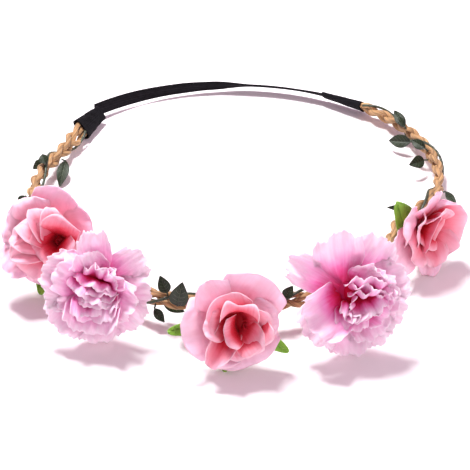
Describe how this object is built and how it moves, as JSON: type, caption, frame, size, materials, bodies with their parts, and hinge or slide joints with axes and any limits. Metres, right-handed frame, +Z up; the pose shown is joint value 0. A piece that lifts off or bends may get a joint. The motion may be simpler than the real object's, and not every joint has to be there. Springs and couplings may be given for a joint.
{
  "type": "flower crown",
  "caption": "Braided flower crown headband with roses, carnations, a leafy vine and an elastic back strap that stretches to fit the head.",
  "frame": {"origin": "centre of the bounding box's bottom face, on the table the crown lies on", "axes": "+Z up, -Y towards the flowers at the front, +Y towards the elastic strap at the back, +X to the viewer's right"},
  "size_m": [0.199, 0.2097, 0.0438],
  "materials": {
    "braid_cord": "twisted paper cord, matte",
    "vine_green": "wrapped wire, dull",
    "leaf_green": "coated fabric with a slight sheen",
    "sepal_green": "moulded, satin",
    "rose_pink": "smooth pressed fabric, pale at the rim and red in the throat",
    "carnation_pink": "thin pressed fabric, nearly white at the rim and hot pink at the base",
    "calyx_green": "moulded, satin",
    "elastic_black": "ribbed woven elastic",
    "sleeve_black": "folded cloth"
  },
  "bodies": {
    "crown": {"braid_strand_1": "braid_cord", "braid_strand_2": "braid_cord", "braid_strand_3": "braid_cord", "vine_stem": "vine_green", "left_sleeve": "sleeve_black", "right_sleeve": "sleeve_black", "vine_leaf_01": "leaf_green", "vine_leaf_02": "leaf_green", "vine_leaf_03": "leaf_green", "vine_leaf_04": "leaf_green", "vine_leaf_05": "leaf_green", "vine_leaf_06": "leaf_green", "vine_leaf_07": "leaf_green", "vine_leaf_08": "leaf_green", "vine_leaf_09": "leaf_green", "vine_leaf_10": "leaf_green", "vine_leaf_11": "leaf_green", "vine_leaf_12": "leaf_green", "vine_leaf_13": "leaf_green", "vine_leaf_14": "leaf_green", "vine_leaf_15": "leaf_green", "left_rose_stem": "calyx_green", "left_rose_calyx": "calyx_green", "left_rose_sepals": "sepal_green", "left_rose_outer_petals": "rose_pink", "left_rose_middle_petals": "rose_pink", "left_rose_inner_petals": "rose_pink", "left_rose_bud": "rose_pink", "front_rose_stem": "calyx_green", "front_rose_calyx": "calyx_green", "front_rose_sepals": "sepal_green", "front_rose_outer_petals": "rose_pink", "front_rose_middle_petals": "rose_pink", "front_rose_inner_petals": "rose_pink", "front_rose_bud": "rose_pink", "right_rose_stem": "calyx_green", "right_rose_calyx": "calyx_green", "right_rose_sepals": "sepal_green", "right_rose_outer_petals": "rose_pink", "right_rose_middle_petals": "rose_pink", "right_rose_inner_petals": "rose_pink", "right_rose_bud": "rose_pink", "left_carnation_stem": "calyx_green", "left_carnation_calyx": "calyx_green", "left_carnation_guard_petals": "carnation_pink", "left_carnation_second_petals": "carnation_pink", "left_carnation_third_petals": "carnation_pink", "left_carnation_fourth_petals": "carnation_pink", "left_carnation_tuft": "carnation_pink", "right_carnation_stem": "calyx_green", "right_carnation_calyx": "calyx_green", "right_carnation_guard_petals": "carnation_pink", "right_carnation_second_petals": "carnation_pink", "right_carnation_third_petals": "carnation_pink", "right_carnation_fourth_petals": "carnation_pink", "right_carnation_tuft": "carnation_pink"},
    "elastic_back": {"elastic_strap": "elastic_black"}
  },
  "joints": [
    {"name": "elastic_stretch", "type": "slide", "parent": "crown", "child": "elastic_back", "axis": [-0.1515, 0.9885, 0], "range_m": [0, 0.03], "stiffness_N_per_m": 40, "deforming": ["elastic_strap"]}
  ]
}
